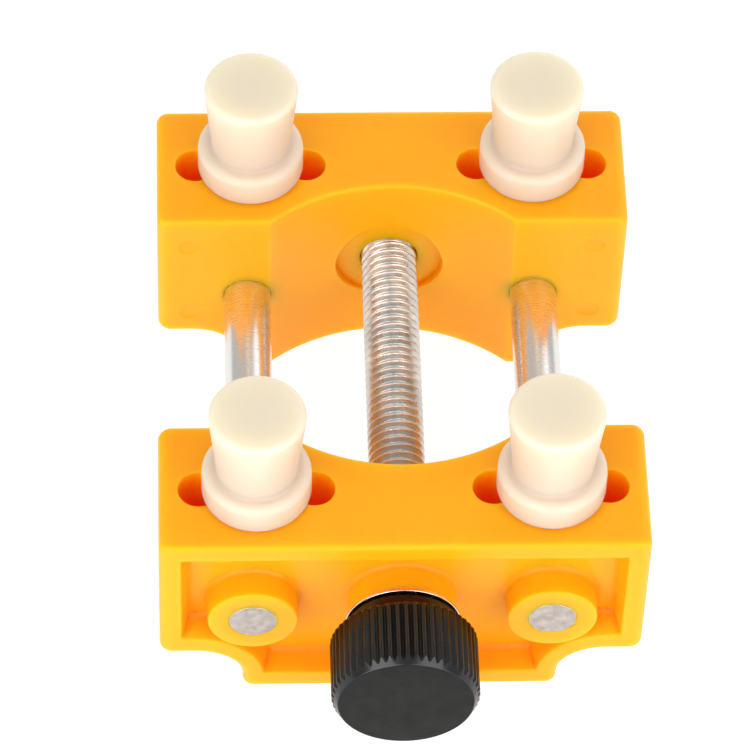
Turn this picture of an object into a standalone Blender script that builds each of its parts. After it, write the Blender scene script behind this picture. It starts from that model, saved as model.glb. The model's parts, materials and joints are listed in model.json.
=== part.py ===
"""Adjustable bench holder for watch cases and movements.

Two moulded jaws ride on two steel guide rods. A thumb knob turns a lead screw that
is held in the front jaw and threaded into the rear jaw, so it draws the rear jaw in.
Four lift-out pegs stand in the jaws and grip the work from outside.

Metres, +Z up, the knob towards -Y. The origin is the middle of the footprint, on the
surface that the jaws' feet stand on.
"""

import math

import bmesh
import bpy
from mathutils import Matrix, Vector

COLLECTION_NAME = "watch_case_holder"
PLAY = 0.0003                   # clearance between pieces that touch or run in each other
ROUND_SIDES = 24                # sides of a turned piece or a drilled hole
WELD = 0.000001                 # distance under which points are one point

# ---- jaws
JAW_WIDTH = 0.0500
JAW_DEPTH = 0.0154              # along the rods
JAW_HEIGHT = 0.0248
SIDE_UNDERSIDE = 0.0063         # underside of the side sections, above the feet
FOOT_HALF_WIDTH = 0.0164
FOOT_FILLET = 0.0050
JAW_EDGE = 0.0005               # rounding of the moulded edges
JAW_OPENING = 0.0268            # between the jaws' inner faces at rest

RECESS_RIM = 0.0023             # wall left around the recess in the outer face
RECESS_DEPTH = 0.0028
RECESS_DRAFT = 0.0012           # how far the recess narrows towards its floor

CRADLE_RADIUS = 0.0200          # hollow in the inner face that grips a round movement
CRADLE_DEPTH = 0.0048
SPOT_FACE_RADIUS = 0.0058       # flat in the hollow that the screw's inner washer bears on
SPOT_FACE_DEPTH = 0.0003

AXIS_HEIGHT = 0.0124            # guide rods and lead screw
ROD_OFFSET = 0.0154             # each rod from the middle
ROD_RADIUS = 0.0025
ROD_TAIL = 0.0075               # rod that stands out of the rear jaw at rest
ROD_BOSS_RADIUS = 0.00465
ROD_BOSS_PROUD = 0.0004
SCREW_BOSS_RADIUS = 0.0055
SCREW_BOSS_PROUD = 0.0001
BOSS_ROOT = 0.0010              # how far a boss runs into the wall behind it

# ---- pegs and their holes
PEG_HOLE_RADIUS = 0.0021
PEG_HOLE_DEPTH = 0.0078
PEG_HOLE_INSET = 0.0075         # hole centres from the jaw's outer face
PEG_HOLE_PITCH = 0.0059
PEG_OFFSET = 0.0150             # middle hole of each row of three
PEG_HEAD_TOP = 0.0129           # above the jaw's top face
PEG_HEAD_RADIUS = 0.0048
PEG_HEAD_EDGE = 0.0004
PEG_NECK_RADIUS = 0.0039
PEG_FLANGE_RADIUS = 0.0056
PEG_FLANGE_HEIGHT = 0.0033
PEG_FLANGE_EDGE = 0.0004
PEG_STEM_RADIUS = PEG_HOLE_RADIUS - PLAY
PEG_STEM_LENGTH = 0.0070
PEG_STEM_CHAMFER = 0.0004

# ---- lead screw, M6 x 1, drawn to its outside diameter
SCREW_RADIUS = 0.0030
SCREW_TAIL = 0.0065             # screw that stands out of the rear jaw at rest
SCREW_CHAMFER = 0.0006
SCREW_HEAD_LENGTH = 0.0080      # stretch inside the knob, ahead of the jaw's outer face
GROOVE_RADIUS = 0.0022          # for the retaining clip
CLIP_RADIUS = 0.0046
CLIP_THICKNESS = 0.0006
CLIP_MOUTH = math.radians(64)
INNER_WASHER_THICKNESS = 0.0005
INNER_WASHER_RADIUS = 0.0052
THRUST_WASHER_THICKNESS = 0.0004
THRUST_WASHER_RADIUS = 0.00595
INSERT_RADIUS = 0.0042          # brass insert with the thread, in the rear jaw
INSERT_LENGTH = 0.0090

# ---- knob
KNOB_REACH = 0.01065            # its flat front, ahead of the jaw's outer face
KNOB_RADIUS = 0.0076
KNOB_FACE_RADIUS = 0.00695
KNOB_CHAMFER_LENGTH = 0.0010
KNOB_SKIRT_LENGTH = 0.0075
KNOB_BACK_EDGE = 0.0004
KNOB_COLLAR_RADIUS = 0.0058

# ---- places that follow from the sizes above
OVERALL_LENGTH = KNOB_REACH + 2 * JAW_DEPTH + JAW_OPENING + ROD_TAIL
FRONT_FACE_Y = KNOB_REACH - OVERALL_LENGTH / 2
REAR_FACE_Y = FRONT_FACE_Y + 2 * JAW_DEPTH + JAW_OPENING
BOSS_FACE_Y = FRONT_FACE_Y - SCREW_BOSS_PROUD
SPOT_FACE_Y = JAW_DEPTH - CRADLE_DEPTH - SPOT_FACE_DEPTH   # from a jaw's outer face
SCREW_WALL_Y = FRONT_FACE_Y + SPOT_FACE_Y                # inner side of the wall at the screw

AHEAD = Matrix.Rotation(math.radians(90), 4, "X")        # local +Z turned to point along -Y


# ------------------------------------------------------------------ scene and materials
def clear_scene():
    for old in list(bpy.data.objects):
        bpy.data.objects.remove(old, do_unlink=True)


def new_collection(name):
    collection = bpy.data.collections.new(name)
    bpy.context.scene.collection.children.link(collection)
    return collection


def make_material(name, colour, roughness, metallic):
    material = bpy.data.materials.new(name)
    material.use_nodes = True
    shader = material.node_tree.nodes["Principled BSDF"]
    shader.inputs["Base Color"].default_value = (*colour, 1.0)
    shader.inputs["Roughness"].default_value = roughness
    shader.inputs["Metallic"].default_value = metallic
    material.diffuse_color = (*colour, 1.0)
    return material


# ------------------------------------------------------------------ shapes
def add_object(name, mesh, collection, material=None):
    obj = bpy.data.objects.new(name, mesh)
    collection.objects.link(obj)
    if material:
        mesh.materials.append(material)
    return obj


def add_empty(name, location, collection):
    empty = bpy.data.objects.new(name, None)
    empty.location = location
    collection.objects.link(empty)
    return empty


def attach(child, parent):
    """Parent an object and keep it where it stands in the world."""
    bpy.context.view_layer.update()
    child.parent = parent
    child.matrix_parent_inverse = parent.matrix_world.inverted()


def shade_round(mesh):
    mesh.shade_smooth()
    mesh.set_sharp_from_angle(angle=math.radians(35))


def add_cylinder(bm, radius, start, end):
    """A closed cylinder between two points."""
    start, end = Vector(start), Vector(end)
    turn = (end - start).to_track_quat("Z", "Y").to_matrix().to_4x4()
    place = Matrix.Translation((start + end) / 2) @ turn
    bmesh.ops.create_cone(bm, cap_ends=True, segments=ROUND_SIDES, radius1=radius,
                          radius2=radius, depth=(end - start).length, matrix=place)


def cylinders_mesh(name, cylinders):
    """One mesh of separate cylinders, each given as radius, start and end."""
    bm = bmesh.new()
    for radius, start, end in cylinders:
        add_cylinder(bm, radius, start, end)
    mesh = bpy.data.meshes.new(name)
    bm.to_mesh(mesh)
    bm.free()
    return mesh


def turned(name, profile, collection, material, closed=False):
    """A piece turned about its own Z axis from (radius, height) points, top to bottom."""
    bm = bmesh.new()
    points = [bm.verts.new((radius, 0.0, height)) for radius, height in profile]
    for first, second in zip(points, points[1:]):
        bm.edges.new((first, second))
    if closed:
        bm.edges.new((points[-1], points[0]))
    mesh = bpy.data.meshes.new(name)
    bm.to_mesh(mesh)
    bm.free()
    obj = add_object(name, mesh, collection, material)
    lathe = obj.modifiers.new("lathe", "SCREW")
    lathe.axis = "Z"
    lathe.steps = ROUND_SIDES
    lathe.render_steps = ROUND_SIDES
    lathe.use_merge_vertices = True
    lathe.merge_threshold = WELD
    lathe.use_smooth_shade = True
    return obj


def plate_mesh(name, outline, thickness):
    """A flat outline in XZ, given a thickness along Y with its middle at y = 0."""
    curve = bpy.data.curves.new(name, "CURVE")
    curve.dimensions = "2D"
    curve.fill_mode = "BOTH"
    curve.extrude = thickness / 2
    spline = curve.splines.new("POLY")
    spline.points.add(len(outline) - 1)
    for point, (x, z) in zip(spline.points, outline):
        point.co = (x, z, 0.0, 1.0)
    spline.use_cyclic_u = True
    holder = bpy.data.objects.new(name, curve)
    bpy.context.scene.collection.objects.link(holder)
    evaluated = holder.evaluated_get(bpy.context.evaluated_depsgraph_get())
    mesh = bpy.data.meshes.new_from_object(evaluated)
    bpy.data.objects.remove(holder)
    bpy.data.curves.remove(curve)
    bm = bmesh.new()
    bm.from_mesh(mesh)
    bmesh.ops.remove_doubles(bm, verts=bm.verts, dist=WELD)
    bmesh.ops.transform(bm, matrix=AHEAD, verts=bm.verts)
    for side in (-1, 1):
        cap = [face for face in bm.faces if all(v.co.y * side > thickness / 4 for v in face.verts)]
        bmesh.ops.dissolve_faces(bm, faces=cap)
    bmesh.ops.recalc_face_normals(bm, faces=bm.faces)
    bm.to_mesh(mesh)
    bm.free()
    return mesh


def arc(centre, radius, start, end, steps):
    """Points along an arc, both ends included, angles in radians."""
    angles = [start + (end - start) * step / steps for step in range(steps + 1)]
    return [(centre[0] + radius * math.cos(a), centre[1] + radius * math.sin(a)) for a in angles]


def cut(obj, name, mesh, operation, cutters):
    """A Boolean with a helper body that goes where the object goes.

    The exact solver leaves open edges where the bosses meet the recess's thin walls, so
    the cuts use the manifold one: every body and cutter here is closed.
    """
    helper = add_object(name, mesh, cutters)
    helper.matrix_world = obj.matrix_world
    helper.hide_render = True
    helper.display_type = "WIRE"
    attach(helper, obj)
    boolean = obj.modifiers.new(name, "BOOLEAN")
    boolean.operation = operation
    boolean.solver = "MANIFOLD"
    boolean.object = helper


# ------------------------------------------------------------------ jaws
def jaw_outline(inset):
    """The jaw seen from the front, with every wall moved inwards by inset."""
    radius = FOOT_FILLET + inset
    centre_z = SIDE_UNDERSIDE - FOOT_FILLET
    arc_end = math.pi - math.asin(max(0.0, inset - centre_z) / radius)
    half = [(JAW_WIDTH / 2 - inset, JAW_HEIGHT - inset),
            (JAW_WIDTH / 2 - inset, SIDE_UNDERSIDE + inset)]
    half += arc((FOOT_HALF_WIDTH + FOOT_FILLET, centre_z), radius, math.pi / 2, arc_end, 6)
    if inset < centre_z:
        half.append((FOOT_HALF_WIDTH - inset, inset))
    return half + [(-x, z) for x, z in reversed(half)]


def recess_mesh(name):
    """Cutter for the recess: a plate ahead of the outer face, its inner side inset to a floor."""
    cover = 0.002
    lead = 0.0003
    mesh = plate_mesh(name, jaw_outline(RECESS_RIM), cover)
    bm = bmesh.new()
    bm.from_mesh(mesh)
    bmesh.ops.translate(bm, verts=bm.verts, vec=(0, -cover / 2 - lead, 0))
    floor = [face for face in bm.faces if face.normal.y > 0.9]
    bmesh.ops.inset_region(bm, faces=floor, thickness=RECESS_DRAFT, depth=0.0,
                           use_even_offset=True)
    bmesh.ops.translate(bm, verts=list({v for face in floor for v in face.verts}),
                        vec=(0, RECESS_DEPTH + lead, 0))
    bm.to_mesh(mesh)
    bm.free()
    return mesh


def bosses_mesh(name):
    root_y = RECESS_DEPTH + BOSS_ROOT
    cylinders = [(SCREW_BOSS_RADIUS, (0, -SCREW_BOSS_PROUD, AXIS_HEIGHT),
                  (0, root_y, AXIS_HEIGHT))]
    for x in (-ROD_OFFSET, ROD_OFFSET):
        cylinders.append((ROD_BOSS_RADIUS, (x, -ROD_BOSS_PROUD, AXIS_HEIGHT),
                          (x, root_y, AXIS_HEIGHT)))
    return cylinders_mesh(name, cylinders)


def peg_places():
    """Hole centres in one jaw: three in a row on each side."""
    return [side * PEG_OFFSET + step * PEG_HOLE_PITCH for side in (-1, 1) for step in (-1, 0, 1)]


def holes_mesh(name):
    past = 0.002
    screw_hole = SCREW_RADIUS + PLAY
    cylinders = [(screw_hole, (0, -past, AXIS_HEIGHT), (0, JAW_DEPTH + past, AXIS_HEIGHT))]
    for x in (-ROD_OFFSET, ROD_OFFSET):
        cylinders.append((ROD_RADIUS + PLAY, (x, -past, AXIS_HEIGHT),
                          (x, JAW_DEPTH + past, AXIS_HEIGHT)))
    for x in peg_places():
        cylinders.append((PEG_HOLE_RADIUS, (x, PEG_HOLE_INSET, JAW_HEIGHT - PEG_HOLE_DEPTH),
                          (x, PEG_HOLE_INSET, JAW_HEIGHT + past)))
    return cylinders_mesh(name, cylinders)


def cradle_mesh(name):
    past = 0.002
    y = JAW_DEPTH + CRADLE_RADIUS - CRADLE_DEPTH
    bm = bmesh.new()
    place = Matrix.Translation((0, y, JAW_HEIGHT / 2))
    bmesh.ops.create_cone(bm, cap_ends=True, segments=3 * ROUND_SIDES, radius1=CRADLE_RADIUS,
                          radius2=CRADLE_RADIUS, depth=JAW_HEIGHT + 2 * past, matrix=place)
    mesh = bpy.data.meshes.new(name)
    bm.to_mesh(mesh)
    bm.free()
    return mesh


def spot_face_mesh(name):
    return cylinders_mesh(name, [(SPOT_FACE_RADIUS, (0, SPOT_FACE_Y, AXIS_HEIGHT),
                                  (0, JAW_DEPTH, AXIS_HEIGHT))])


def make_jaw(name, outer_face_y, turn, parts, cutters, material):
    """A jaw whose outer face is at the given y; turn is half a turn for the rear one."""
    mesh = plate_mesh(name, jaw_outline(0.0), JAW_DEPTH)
    mesh.transform(Matrix.Translation((0, JAW_DEPTH / 2, 0)))
    jaw = add_object(name, mesh, parts, material)
    jaw.location = (0, outer_face_y, 0)
    jaw.rotation_euler = (0, 0, turn)
    bpy.context.view_layer.update()
    edges = jaw.modifiers.new("moulded edges", "BEVEL")
    edges.width = JAW_EDGE
    edges.segments = 2
    edges.limit_method = "ANGLE"
    edges.use_clamp_overlap = False
    edges.angle_limit = math.radians(40)
    cut(jaw, name + "_recess", recess_mesh(name + "_recess"), "DIFFERENCE", cutters)
    cut(jaw, name + "_bosses", bosses_mesh(name + "_bosses"), "UNION", cutters)
    cut(jaw, name + "_cradle", cradle_mesh(name + "_cradle"), "DIFFERENCE", cutters)
    cut(jaw, name + "_spot_face", spot_face_mesh(name + "_spot_face"), "DIFFERENCE", cutters)
    cut(jaw, name + "_holes", holes_mesh(name + "_holes"), "DIFFERENCE", cutters)
    return jaw


def insert_pocket_mesh(name):
    """Cutter for the brass insert's pocket, from the outer face inwards."""
    past = 0.002
    end = INSERT_LENGTH + PLAY - SCREW_BOSS_PROUD
    return cylinders_mesh(name, [(INSERT_RADIUS + PLAY, (0, -past, AXIS_HEIGHT),
                                  (0, end, AXIS_HEIGHT))])


# ------------------------------------------------------------------ metal pieces
def make_rod(name, x, parts, material):
    front = FRONT_FACE_Y - ROD_BOSS_PROUD
    length = REAR_FACE_Y + ROD_TAIL - front
    chamfer = 0.0003
    profile = [(0, 0), (ROD_RADIUS - chamfer, 0), (ROD_RADIUS, -chamfer),
               (ROD_RADIUS, chamfer - length), (ROD_RADIUS - chamfer, -length), (0, -length)]
    rod = turned(name, profile, parts, material)
    rod.matrix_world = Matrix.Translation((x, front, AXIS_HEIGHT)) @ AHEAD
    return rod


def make_lead_screw(parts, material):
    """The screw, with the groove that its retaining clip sits in."""
    front = FRONT_FACE_Y - SCREW_HEAD_LENGTH
    length = REAR_FACE_Y + SCREW_TAIL - front
    clip_y = clip_place()
    groove_start = -(clip_y - CLIP_THICKNESS / 2 - PLAY - front)
    groove_end = -(clip_y + CLIP_THICKNESS / 2 + PLAY - front)
    tip = SCREW_RADIUS - SCREW_CHAMFER
    profile = [(0, 0), (tip, 0), (SCREW_RADIUS, -SCREW_CHAMFER), (SCREW_RADIUS, groove_start),
               (GROOVE_RADIUS, groove_start), (GROOVE_RADIUS, groove_end),
               (SCREW_RADIUS, groove_end), (SCREW_RADIUS, SCREW_CHAMFER - length),
               (tip, -length), (0, -length)]
    screw = turned("lead_screw", profile, parts, material)
    screw.matrix_world = Matrix.Translation((0, front, AXIS_HEIGHT)) @ AHEAD
    return screw


def make_ring(name, outer, inner, thickness, front_y, parts, material):
    """A washer or bush about the screw's axis, its front face at front_y."""
    profile = [(outer, 0), (outer, -thickness), (inner, -thickness), (inner, 0)]
    ring = turned(name, profile, parts, material, closed=True)
    ring.matrix_world = Matrix.Translation((0, front_y, AXIS_HEIGHT)) @ AHEAD
    return ring


def clip_place():
    """Middle of the retaining clip, behind the inner washer."""
    washer_back = SCREW_WALL_Y + PLAY + INNER_WASHER_THICKNESS
    return washer_back + PLAY + CLIP_THICKNESS / 2


def make_clip(parts, material):
    """An open ring that springs into the screw's groove."""
    start = CLIP_MOUTH / 2 - math.pi / 2
    end = 2 * math.pi - CLIP_MOUTH / 2 - math.pi / 2
    outline = arc((0, 0), CLIP_RADIUS, start, end, 24)
    outline += arc((0, 0), GROOVE_RADIUS + PLAY, end, start, 24)
    clip = add_object("retaining_clip", plate_mesh("retaining_clip", outline, CLIP_THICKNESS),
                      parts, material)
    shade_round(clip.data)
    clip.location = (0, clip_place(), AXIS_HEIGHT)
    return clip


# ------------------------------------------------------------------ knob and pegs
def make_knob(parts, material):
    """Skirt, chamfered front and a narrower collar, with a blind bore for the screw."""
    front = FRONT_FACE_Y - KNOB_REACH
    skirt_back = -KNOB_SKIRT_LENGTH
    back = -(BOSS_FACE_Y - 2 * PLAY - THRUST_WASHER_THICKNESS - front)
    bore = SCREW_RADIUS + PLAY
    bore_end = -(KNOB_REACH - SCREW_HEAD_LENGTH - PLAY)
    profile = [(0, 0), (KNOB_FACE_RADIUS, 0), (KNOB_RADIUS, -KNOB_CHAMFER_LENGTH),
               (KNOB_RADIUS, skirt_back + KNOB_BACK_EDGE), (KNOB_RADIUS - KNOB_BACK_EDGE, skirt_back),
               (KNOB_COLLAR_RADIUS, skirt_back), (KNOB_COLLAR_RADIUS, back),
               (bore, back), (bore, bore_end), (0, bore_end)]
    knob = turned("knob", profile, parts, material)
    knob.matrix_world = Matrix.Translation((0, front, AXIS_HEIGHT)) @ AHEAD
    return knob


def peg_profile():
    """Head, waist, flange and stem, from the top down; height 0 is the jaw's top face."""
    flange_top = PLAY + PEG_FLANGE_HEIGHT
    stem_end = -PEG_STEM_LENGTH
    return [(0, PEG_HEAD_TOP), (PEG_HEAD_RADIUS - PEG_HEAD_EDGE, PEG_HEAD_TOP),
            (PEG_HEAD_RADIUS, PEG_HEAD_TOP - PEG_HEAD_EDGE), (PEG_NECK_RADIUS, flange_top),
            (PEG_FLANGE_RADIUS - PEG_FLANGE_EDGE, flange_top),
            (PEG_FLANGE_RADIUS, flange_top - PEG_FLANGE_EDGE), (PEG_FLANGE_RADIUS, PLAY),
            (PEG_STEM_RADIUS, PLAY), (PEG_STEM_RADIUS, stem_end + PEG_STEM_CHAMFER),
            (PEG_STEM_RADIUS - PEG_STEM_CHAMFER, stem_end), (0, stem_end)]


def make_peg(name, x, y, parts, material):
    peg = turned(name, peg_profile(), parts, material)
    peg.location = (x, y, JAW_HEIGHT)
    return peg


# ------------------------------------------------------------------ the whole holder
def build():
    clear_scene()
    parts = new_collection(COLLECTION_NAME)
    cutters = new_collection("cutters")
    jaw_plastic = make_material("amber jaw plastic", (1.0, 0.42, 0.02), 0.38, 0.0)
    peg_nylon = make_material("ivory peg nylon", (0.90, 0.84, 0.66), 0.35, 0.0)
    knob_plastic = make_material("black knob plastic", (0.02, 0.02, 0.02), 0.30, 0.0)
    rod_steel = make_material("ground rod steel", (0.72, 0.72, 0.72), 0.30, 1.0)
    screw_steel = make_material("zinc plated screw steel", (0.66, 0.66, 0.64), 0.35, 1.0)
    washer_steel = make_material("bright washer steel", (0.80, 0.80, 0.80), 0.20, 1.0)
    clip_steel = make_material("spring steel", (0.30, 0.30, 0.32), 0.35, 1.0)
    brass = make_material("insert brass", (0.80, 0.60, 0.28), 0.35, 1.0)

    slide = add_empty("rear_slide", (0, REAR_FACE_Y, AXIS_HEIGHT), parts)
    spindle = add_empty("knob_axis", (0, FRONT_FACE_Y, AXIS_HEIGHT), parts)

    make_jaw("front_jaw", FRONT_FACE_Y, 0.0, parts, cutters, jaw_plastic)
    rear_jaw = make_jaw("rear_jaw", REAR_FACE_Y, math.pi, parts, cutters, jaw_plastic)
    cut(rear_jaw, "insert_pocket", insert_pocket_mesh("insert_pocket"), "DIFFERENCE", cutters)
    insert = make_ring("threaded_insert", INSERT_RADIUS, SCREW_RADIUS + PLAY, INSERT_LENGTH,
                       REAR_FACE_Y + SCREW_BOSS_PROUD - INSERT_LENGTH, parts, brass)

    make_rod("guide_rod_left", -ROD_OFFSET, parts, rod_steel)
    make_rod("guide_rod_right", ROD_OFFSET, parts, rod_steel)

    thrust_washer_y = BOSS_FACE_Y - PLAY - THRUST_WASHER_THICKNESS
    turning = [make_knob(parts, knob_plastic), make_lead_screw(parts, screw_steel),
               make_clip(parts, clip_steel),
               make_ring("thrust_washer", THRUST_WASHER_RADIUS, SCREW_RADIUS + PLAY,
                         THRUST_WASHER_THICKNESS, thrust_washer_y, parts, washer_steel),
               make_ring("inner_washer", INNER_WASHER_RADIUS, SCREW_RADIUS + PLAY,
                         INNER_WASHER_THICKNESS, SCREW_WALL_Y + PLAY, parts, washer_steel)]

    front_y = FRONT_FACE_Y + PEG_HOLE_INSET
    rear_y = REAR_FACE_Y - PEG_HOLE_INSET
    make_peg("peg_front_left", -PEG_OFFSET, front_y, parts, peg_nylon)
    make_peg("peg_front_right", PEG_OFFSET, front_y, parts, peg_nylon)
    sliding = [rear_jaw, insert, make_peg("peg_rear_left", -PEG_OFFSET, rear_y, parts, peg_nylon),
               make_peg("peg_rear_right", PEG_OFFSET, rear_y, parts, peg_nylon)]

    for piece in turning:
        attach(piece, spindle)
    for piece in sliding:
        attach(piece, slide)


build()
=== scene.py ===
"""Looks of an adjustable bench holder for watch cases and movements.

Two moulded jaws on steel guide rods, a ribbed thumb knob on a lead screw, and four
nylon pegs, each built around the frame's body of the same name.
Metres, +Z up, the knob towards -Y, the feet on Z = 0.
"""

import json
import math

import bmesh
import bpy
from bpy.props import FloatProperty, FloatVectorProperty, IntProperty, PointerProperty
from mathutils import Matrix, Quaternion, Vector

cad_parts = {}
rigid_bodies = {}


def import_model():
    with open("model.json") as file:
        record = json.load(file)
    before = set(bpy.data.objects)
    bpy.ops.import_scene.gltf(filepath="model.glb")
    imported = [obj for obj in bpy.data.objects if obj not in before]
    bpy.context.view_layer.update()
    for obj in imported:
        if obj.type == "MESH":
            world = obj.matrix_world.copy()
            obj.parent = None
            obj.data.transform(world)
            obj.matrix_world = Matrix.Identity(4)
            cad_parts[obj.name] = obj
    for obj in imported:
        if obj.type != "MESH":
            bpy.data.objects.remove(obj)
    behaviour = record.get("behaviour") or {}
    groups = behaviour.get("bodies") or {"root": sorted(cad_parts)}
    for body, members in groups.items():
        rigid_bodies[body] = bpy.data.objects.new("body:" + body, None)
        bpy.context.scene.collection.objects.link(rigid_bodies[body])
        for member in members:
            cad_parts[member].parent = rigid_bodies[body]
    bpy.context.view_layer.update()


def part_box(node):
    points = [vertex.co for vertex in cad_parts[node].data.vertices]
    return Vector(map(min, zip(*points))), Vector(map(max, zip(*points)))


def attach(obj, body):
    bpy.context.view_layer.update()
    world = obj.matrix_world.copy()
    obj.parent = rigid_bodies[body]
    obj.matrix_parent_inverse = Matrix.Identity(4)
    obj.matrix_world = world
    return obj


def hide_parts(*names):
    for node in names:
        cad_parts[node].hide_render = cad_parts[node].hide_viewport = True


bl_info = {
    "name": "Watch Case Holder",
    "version": (1, 0, 0),
    "blender": (4, 5, 0),
    "location": "View3D > Sidebar > Holder",
    "description": "Builds a two-jaw bench holder for watch cases around its frame",
    "category": "Add Mesh",
}

for leftover in list(bpy.data.objects):
    bpy.data.objects.remove(leftover, do_unlink=True)
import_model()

# ---- places that the frame gives
FRONT_LOW, FRONT_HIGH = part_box("front_jaw")
REAR_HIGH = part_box("rear_jaw")[1]
KNOB_LOW, KNOB_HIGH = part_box("knob")
ROD_LOW, ROD_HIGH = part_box("guide_rod_right")
SCREW_LOW, SCREW_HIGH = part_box("lead_screw")
CLIP_LOW, CLIP_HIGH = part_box("retaining_clip")
PEG_LOW, PEG_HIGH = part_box("peg_front_right")

ROD_BOSS_PROUD = 0.0004
SCREW_BOSS_PROUD = 0.0001
FRONT_FACE_Y = FRONT_LOW.y + ROD_BOSS_PROUD      # outer faces of the two jaws
REAR_FACE_Y = REAR_HIGH.y - ROD_BOSS_PROUD
JAW_WIDTH = FRONT_HIGH.x - FRONT_LOW.x
JAW_DEPTH = FRONT_HIGH.y - FRONT_FACE_Y
JAW_HEIGHT = FRONT_HIGH.z
AXIS_HEIGHT = (KNOB_LOW.z + KNOB_HIGH.z) / 2
AXIS = Vector((0, 0, AXIS_HEIGHT))
ROD_OFFSET = (ROD_LOW.x + ROD_HIGH.x) / 2
PEG_OFFSET = (PEG_LOW.x + PEG_HIGH.x) / 2
PEG_INSET = (PEG_LOW.y + PEG_HIGH.y) / 2 - FRONT_FACE_Y

# ---- sizes of the moulding that its settings don't offer
SIDE_UNDERSIDE = 0.0063
FOOT_HALF_WIDTH = 0.0164
FOOT_FILLET = 0.0050
ROD_BOSS_RADIUS = 0.00465
SCREW_BOSS_RADIUS = 0.0055
BOSS_ROOT = 0.0010
PEG_HOLE_PITCH = 0.0059
PEG_HOLE_DEPTH = 0.0078
SPOT_FACE_RADIUS = 0.0058
SPOT_FACE_DEPTH = 0.0003
ROD_RADIUS = 0.0025
SCREW_RADIUS = 0.0030
INSERT_RADIUS = 0.0042
INSERT_LENGTH = 0.0090
RUNNING_GAP = 0.00005           # between metal and the bore it runs in
FLARE_START = math.radians(20)  # a rounding's first angle, kept off the face it runs out of
PAST = 0.00002                  # how far a cutter stands past the surface it starts at
FINE_BUMP = 0.000006            # depth of a smooth surface's faintest texture
EJECTOR_X, EJECTOR_HEIGHTS = 0.0215, (0.0205, 0.0095)
EJECTOR_RADIUS, EJECTOR_DEPTH = 0.0013, 0.00012


# ------------------------------------------------------------------ settings
class JawSettings(bpy.types.PropertyGroup):
    side_radius: FloatProperty(
        name="Upright Edges", description="Rounding of the jaw's upright edges",
        default=0.0010, min=0.0002, unit="LENGTH")
    edge_radius: FloatProperty(
        name="Outer Edges", description="Rounding of the edges of the outer face",
        default=0.0005, min=0.0002, unit="LENGTH")
    grip_edge_radius: FloatProperty(
        name="Inner Edges", description="Rounding of the edges of the inner face",
        default=0.00035, min=0.0001, unit="LENGTH")
    corner_radius: FloatProperty(
        name="Corners", description="Rounding of the corners seen from the front",
        default=0.0009, min=0.0005, unit="LENGTH")
    recess_rim: FloatProperty(
        name="Recess Rim", description="Width of the wall around the recess",
        default=0.0023, min=0.0015, unit="LENGTH")
    recess_depth: FloatProperty(
        name="Recess Depth", description="Depth of the recess in the outer face",
        default=0.0028, min=0.0010, unit="LENGTH")
    recess_draft: FloatProperty(
        name="Recess Draft", description="How far the recess narrows towards its floor",
        default=0.0012, min=0.0, unit="LENGTH")
    cradle_radius: FloatProperty(
        name="Cradle Radius", description="Radius of the hollow that grips the case",
        default=0.0200, min=0.0150, unit="LENGTH")
    cradle_depth: FloatProperty(
        name="Cradle Depth", description="Depth of the hollow in the middle of the jaw",
        default=0.0048, min=0.0010, unit="LENGTH")
    peg_hole_radius: FloatProperty(
        name="Peg Holes", description="Radius of the holes that the pegs stand in",
        default=0.0021, min=0.0020, unit="LENGTH")
    colour: FloatVectorProperty(
        name="Colour", description="Colour of the moulded jaws",
        subtype="COLOR", size=3, min=0.0, max=1.0, default=(1.0, 0.405, 0.0042))


class PegSettings(bpy.types.PropertyGroup):
    head_radius: FloatProperty(
        name="Head", description="Radius of the peg's flat top",
        default=0.00500, min=0.0030, unit="LENGTH")
    neck_radius: FloatProperty(
        name="Neck", description="Radius of the peg just above its flange",
        default=0.0041, min=0.0025, unit="LENGTH")
    flange_radius: FloatProperty(
        name="Flange", description="Radius of the flange that stands on the jaw",
        default=0.0056, min=0.0040, unit="LENGTH")
    flange_height: FloatProperty(
        name="Flange Height", description="Height of the flange",
        default=0.0037, min=0.0010, unit="LENGTH")
    colour: FloatVectorProperty(
        name="Colour", description="Colour of the nylon",
        subtype="COLOR", size=3, min=0.0, max=1.0, default=(0.72, 0.655, 0.51))


class KnobSettings(bpy.types.PropertyGroup):
    ribs: IntProperty(
        name="Ribs", description="Number of ribs around the knob", default=52, min=12, max=90)
    rib_depth: FloatProperty(
        name="Rib Depth", description="Depth of the grooves between the ribs",
        default=0.00034, min=0.0001, unit="LENGTH")
    groove_width: FloatProperty(
        name="Groove Fullness", description="Higher numbers make the grooves narrower",
        default=1.5, min=0.5, max=4.0)
    face_radius: FloatProperty(
        name="Face", description="Radius of the flat front", default=0.00695, min=0.0050,
        unit="LENGTH")
    colour: FloatVectorProperty(
        name="Colour", description="Colour of the knob",
        subtype="COLOR", size=3, min=0.0, max=1.0, default=(0.005, 0.0048, 0.0045))


class ScrewSettings(bpy.types.PropertyGroup):
    pitch: FloatProperty(
        name="Pitch", description="Travel for each turn", default=0.0010, min=0.0005,
        unit="LENGTH")
    thread_depth: FloatProperty(
        name="Thread Depth", description="Depth of the thread", default=0.00055, min=0.0001,
        unit="LENGTH")
    rod_chamfer: FloatProperty(
        name="Rod Chamfer", description="Bevel on the ends of the guide rods",
        default=0.00007, min=0.00005, unit="LENGTH")


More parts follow.
